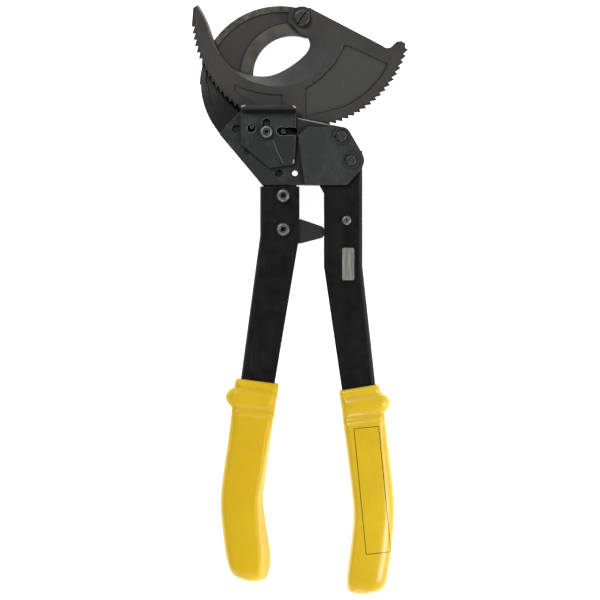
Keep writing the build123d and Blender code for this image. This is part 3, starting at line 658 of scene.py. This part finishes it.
# Heights of a sleeve's back and front faces, corner sizes and inner facet, station
# by station from its top rim to its end. Both sleeves share them.
SECTIONS = [
    # back, front, corner across, corner high, facet
    (1.6, 28.4, 4.0, 4.0, 0.0),  # just under the rim
    (0.9, 28.9, 4.5, 4.5, 0.0),  # collar
    (1.5, 28.0, 5.0, 5.0, 0.0),  # groove above the guard
    (0.6, 29.5, 7.0, 6.5, 0.0),
    (0.1, 30.2, 8.5, 8.0, 0.0),  # guard's crest
    (1.2, 28.9, 8.0, 7.0, 0.0),
    (2.3, 27.3, 6.0, 5.0, 0.0),
    (1.6, 28.2, 5.5, 5.0, 0.0),  # small ridge under the guard
    (2.6, 26.6, 6.0, 6.0, 0.3),
    (2.6, 26.4, 6.0, 7.0, 1.0),
    (2.4, 26.6, 5.5, 8.0, 1.6),
    (2.2, 27.0, 5.0, 8.5, 2.0),
    (1.8, 27.6, 5.0, 9.0, 2.8),  # the bend
    (1.2, 28.2, 5.0, 9.0, 4.0),
    (0.7, 28.9, 5.0, 9.0, 5.2),
    (0.5, 29.4, 5.0, 9.0, 5.8),
    (0.8, 29.2, 5.5, 9.5, 5.4),
    (2.4, 27.8, 9.0, 9.5, 4.0),  # end
    (5.0, 25.2, 9.0, 8.5, 2.5),
    (8.8, 21.4, 7.0, 6.0, 1.0),
]
# The same stations' plan points on the outer and the inner side.
LEFT_OUTER = [
    (-50.6, -275.4), (-51.2, -277.6), (-51.6, -280.2), (-55.6, -282.8), (-58.3, -287.6), (-56.0, -293.2),
    (-53.4, -295.9), (-53.6, -299.0), (-54.1, -303.2), (-55.4, -314.0), (-57.9, -332.0), (-60.6, -351.0),
    (-62.0, -368.5), (-60.9, -385.0), (-58.9, -402.0), (-57.0, -412.6), (-55.2, -418.6), (-52.3, -423.4),
    (-47.2, -426.4), (-41.8, -428.2),
]
LEFT_INNER = [
    (-17.5, -279.7), (-17.8, -282.2), (-18.2, -284.6), (-18.7, -287.3), (-19.3, -291.6), (-20.1, -296.4),
    (-20.6, -299.2), (-21.1, -302.4), (-21.7, -306.3), (-23.0, -316.0), (-25.4, -334.0), (-27.8, -351.0),
    (-29.5, -365.0), (-28.0, -381.0), (-25.2, -399.0), (-23.8, -410.0), (-24.2, -416.5), (-25.6, -422.6),
    (-28.0, -426.6), (-31.6, -428.0),
]
RIGHT_OUTER = [
    (58.8, -279.8), (59.5, -282.2), (60.8, -284.8), (64.8, -287.2), (67.3, -292.0), (65.2, -297.6),
    (62.8, -300.4), (63.2, -303.2), (63.7, -307.4), (65.0, -318.0), (66.9, -334.0), (68.9, -351.0),
    (70.5, -372.0), (69.6, -390.0), (67.8, -408.0), (65.8, -420.0), (64.6, -428.0), (62.0, -433.6),
    (56.6, -436.6), (51.4, -437.8),
]
RIGHT_INNER = [
    (28.2, -284.8), (28.5, -287.2), (28.9, -289.8), (29.2, -292.4), (29.8, -296.8), (30.4, -301.4),
    (30.8, -304.2), (31.1, -307.2), (31.6, -311.4), (32.9, -322.0), (34.8, -338.0), (36.6, -353.0),
    (38.6, -377.0), (37.4, -393.0), (35.4, -409.0), (33.8, -421.0), (33.1, -429.0), (34.0, -434.6),
    (37.6, -437.4), (43.0, -438.2),
]
# What the right sleeve's outer corner gains across, which spreads its gloss.
RIGHT_SOFT = [0, 0, 0, 0, 0, 0, 0, 0, 0, 1, 2, 4, 6, 7, 8, 8, 7, 5, 3, 1]
LEFT_SOFT = [0] * len(SECTIONS)
SLEEVE_RINGS = 110
INNER_CORNER = 0.8  # an inner corner's size across, as a share of the outer corner's
RIM_INSET = 3.4  # from the rim's outer edge in to the channel
RIM_INSET_INSIDE = 0.9  # the same on the inner side, where the channel stands close
MOUTH_CORNER = (2.6, 2.6)
# The rings by which the rim turns inwards over the channel and goes down inside:
# inset from the outer edge, reach past the first station, and what back and front lose.
MOUTH = [(0.5, 1.2, 1.0), (1.6, 1.7, 2.1), (2.7, 1.2, 3.2), (RIM_INSET, 0.0, 3.9), (RIM_INSET, -7.0, 3.9)]


def sleeve(name, body, node, outer, inner, material, facet_share, soft):
    """A vinyl handle sleeve: rim, collar, guard bead, ridge, bent body and closed end."""
    rows = [(*o, *i, *s, extra) for o, i, s, extra in zip(outer, inner, SECTIONS, soft)]
    rings = []
    for row in smooth(rows, SLEEVE_RINGS):
        low, high, across, tall, facet, extra = row[4:]
        outer_corner = (across + extra, tall)
        inner_corner = (across * INNER_CORNER, tall)
        facet *= facet_share
        rings.append(sleeve_ring(row[0:2], row[2:4], low, high, outer_corner, inner_corner, facet))
    first = rows[0]
    side = Vector((first[2] - first[0], first[3] - first[1])).normalized()
    up = Vector((-side.y, side.x))
    if up.y < 0:
        up = -up
    mouth = []
    for inset, lift, margin in MOUTH:
        start = Vector(first[0:2]) + side * inset + up * lift
        end = Vector(first[2:4]) - side * min(inset, RIM_INSET_INSIDE) + up * lift
        low, high = first[4] + margin, first[5] - margin
        mouth.append(sleeve_ring(start, end, low, high, MOUTH_CORNER, MOUTH_CORNER, 0.0))
    obj = loft(name, mouth[::-1] + rings)
    obj.data.materials.append(material)
    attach(obj, body)
    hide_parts(node)
    return obj


def plate_piece(name, outline, low, high, bevel, material, body):
    """A thin plate with a given plan and softened edges."""
    count = len(outline)
    verts = [at(x, y, low) for x, y in outline] + [at(x, y, high) for x, y in outline]
    faces = [tuple(range(count))[::-1], tuple(range(count, 2 * count))]
    for n in range(count):
        m = (n + 1) % count
        faces.append((n, m, m + count, n + count))
    mesh = bpy.data.meshes.new(name)
    mesh.from_pydata(verts, [], faces)
    obj = bpy.data.objects.new(name, mesh)
    bpy.context.scene.collection.objects.link(obj)
    recalculate(obj)
    soften = obj.modifiers.new("soft_edges", "BEVEL")
    soften.width = bevel * MM
    soften.segments = 2
    soften.limit_method = "ANGLE"
    obj.data.materials.append(material)
    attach(obj, body)
    return obj


PLAN_CORNER_STEPS = 5


def rounded_box_plan(centre, width, length, radius):
    """Plan points of a rectangle with round corners."""
    points = []
    corners = ((1, 1, 0), (-1, 1, 90), (-1, -1, 180), (1, -1, 270))
    for sx, sy, start in corners:
        for step in range(PLAN_CORNER_STEPS + 1):
            turn = math.radians(start + 90 * step / PLAN_CORNER_STEPS)
            x = sx * (width / 2 - radius) + radius * math.cos(turn)
            y = sy * (length / 2 - radius) + radius * math.sin(turn)
            points.append((centre[0] + x, centre[1] + y))
    return points


# ======================================================================
# camera, light and floor
# ======================================================================
def camera():
    """The tool seen square on from in front, through a long lens."""
    data = bpy.data.cameras.new("camera")
    data.sensor_width = SENSOR
    data.lens = SENSOR * (CAMERA_HEIGHT - OBJECT_HEIGHT) / FIELD
    data.clip_end = 20
    obj = bpy.data.objects.new("camera", data)
    obj.location = (*at(*VIEW_CENTRE).xy, CAMERA_HEIGHT)
    bpy.context.scene.collection.objects.link(obj)
    bpy.context.scene.camera = obj


def area_light(name, place, size, power):
    """A square soft light aimed at the frame's origin."""
    data = bpy.data.lights.new(name, "AREA")
    data.size = size
    data.energy = power
    obj = bpy.data.objects.new(name, data)
    obj.location = place
    obj.rotation_euler = (-Vector(place)).to_track_quat("-Z", "Y").to_euler()
    bpy.context.scene.collection.objects.link(obj)


def studio_world():
    """A pale room whose walls are brighter than its ceiling."""
    world = bpy.data.worlds.new("studio")
    world.use_nodes = True
    tree = world.node_tree
    background = tree.nodes["Background"]
    direction = tree.nodes.new("ShaderNodeSeparateXYZ")
    tree.links.new(tree.nodes.new("ShaderNodeTexCoord").outputs["Generated"], direction.inputs[0])
    fade = tree.nodes.new("ShaderNodeMapRange")
    fade.inputs["From Min"].default_value = WALL_TOP
    fade.inputs["From Max"].default_value = CEILING_START
    fade.inputs["To Min"].default_value = WALL_LIGHT
    fade.inputs["To Max"].default_value = CEILING_LIGHT
    tree.links.new(direction.outputs["Z"], fade.inputs["Value"])
    tree.links.new(fade.outputs["Result"], background.inputs["Strength"])
    background.inputs["Color"].default_value = (1, 1, 1, 1)
    bpy.context.scene.world = world


def white_floor():
    """A plain white floor, lit from within so that the shadows on it stay pale."""
    mesh = bpy.data.meshes.new("floor")
    corners = [(x * FLOOR_HALF, y * FLOOR_HALF, FLOOR_Z) for x, y in ((-1, -1), (1, -1), (1, 1), (-1, 1))]
    mesh.from_pydata(corners, [], [(0, 1, 2, 3)])
    floor = bpy.data.objects.new("floor", mesh)
    bpy.context.scene.collection.objects.link(floor)
    s = Shader("pale_floor")
    s.surface.inputs["Base Color"].default_value = (0.95, 0.95, 0.95, 1)
    s.surface.inputs["Roughness"].default_value = 0.9
    s.surface.inputs["Specular IOR Level"].default_value = 0.1
    s.surface.inputs["Emission Color"].default_value = (1, 1, 1, 1)
    s.surface.inputs["Emission Strength"].default_value = 0.95
    floor.data.materials.append(s.material)


# ======================================================================
# putting it together
# ======================================================================
camera()
studio_world()
for soft_box in SOFT_BOXES:
    area_light(*soft_box)
white_floor()
bpy.context.scene.view_settings.view_transform = "Standard"

VINYL = vinyl("golden_vinyl", 0.08)
PRINTED_VINYL = vinyl("golden_vinyl_printed", 0.75, printed=True)
FORGED = dict(dark=grey(52, 50, 49), worn=grey(128, 125, 116), tint=grey(58, 60, 58))
JAW = worn_metal("forged_jaw_steel", grey(64, 63, 61), zones=jaw_zones, **FORGED)
BLADE = worn_metal("forged_blade_steel", grey(69, 67, 64), zones=blade_zones, edge=0.45, **FORGED)
PAWL = worn_metal("pawl_steel", grey(74, 72, 70), grey(46, 45, 44), grey(140, 138, 130))
RUBBED = dict(worn=grey(120, 124, 120), wear=0.55)
PLATE = worn_metal("blackened_sheet", grey(50, 53, 51), grey(40, 43, 42), zones=plate_zones, **RUBBED)
FRONT = worn_metal("front_sheet", grey(40, 43, 41), grey(30, 33, 32), zones=front_zones, **RUBBED)
RELEASE = worn_metal(
    "release_sheet", grey(41, 45, 43), grey(27, 31, 30), grey(160, 168, 164),
    wear=0.9, edge=0.9, zones=release_zones,
)
STOP = worn_metal("stop_casting", grey(40, 41, 40), grey(29, 30, 29), grey(90, 90, 86), grain=(0.8, 0.12))
SCREW_BLACK = worn_metal(
    "screw_black_oxide", grey(58, 58, 56), grey(34, 34, 34), grey(150, 148, 140),
    rough=0.42, wear=0.6, edge=0.4,
)
HEX_SCREW = worn_metal(
    "hex_screw_steel", grey(66, 68, 66), grey(44, 46, 45), grey(186, 190, 182),
    rough=0.4, wear=0.7, edge=0.7, zones=screw_zones,
)
PAINT = black_paint()
ZINC = zinc("bright_zinc", grey(150, 150, 146), grey(104, 104, 100))
PIN = zinc("pin_steel", grey(84, 88, 84), grey(56, 60, 58), 0.4, wear=0.2)
BOLT = zinc("pivot_bolt_steel", grey(84, 84, 80), grey(56, 56, 54), 0.42)
SPRING = zinc("spring_wire", grey(130, 130, 124), grey(84, 84, 80))
BADGE = brushed_badge()

FINISHES = {
    "fixed_jaw": JAW, "moving_blade": BLADE, "front_plate": FRONT, "frame_spacer": PLATE,
    "frame_rivets": SCREW_BLACK, "tether_bush": SCREW_BLACK, "pivot_arm_spacer": PIN,
    "blade_pivot_bolt": BOLT, "blade_pivot_washer": BOLT, "blade_pivot_nut": BOLT,
    "release_plate": RELEASE, "release_screw": HEX_SCREW, "holding_pawl": PAWL,
    "holding_pawl_release_pin": PIN, "holding_pawl_spring": SPRING, "drive_pawl": PAWL,
    "drive_pawl_release_pin": PIN, "drive_pawl_spring": SPRING, "drive_pawl_pin": PIN,
    "drive_pawl_sleeve": PIN, "drive_pawl_washer": PIN, "drive_pawl_clip": SCREW_BLACK,
    "handle_pivot_pin": PIN, "handle_pivot_washer": PIN, "handle_pivot_clip": SCREW_BLACK,
    "front_cheek": PLATE, "back_cheek": PLATE, "moving_handle_channel": PAINT, "brace_screw": ZINC,
    "brace_sleeve": ZINC, "brace_nut": ZINC, "fixed_handle_channel": PAINT,
    "handle_spacer_block": SCREW_BLACK, "handle_screw_upper": HEX_SCREW,
    "handle_screw_lower": HEX_SCREW, "handle_nuts": SCREW_BLACK, "handle_stop": STOP,
    "left_grip": VINYL, "right_grip": VINYL,
}
for node_name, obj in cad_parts.items():
    obj.data.materials.clear()
    obj.data.materials.append(FINISHES[node_name])

sleeve("left_sleeve", "frame", "left_grip", LEFT_OUTER, LEFT_INNER, VINYL, 1.0, LEFT_SOFT)
sleeve("right_sleeve", "handle", "right_grip", RIGHT_OUTER, RIGHT_INNER, PRINTED_VINYL, 0.1, RIGHT_SOFT)

badge_plan = rounded_box_plan(BADGE_CENTRE, BADGE_WIDTH, BADGE_LENGTH, BADGE_CORNER)
badge_low, badge_high = CHANNEL_TOP_Z - BADGE_SINK, CHANNEL_TOP_Z + BADGE_THICK
plate_piece(
    "badge_plate", badge_plan, badge_low, badge_high, BADGE_BEVEL, BADGE, "handle"
)
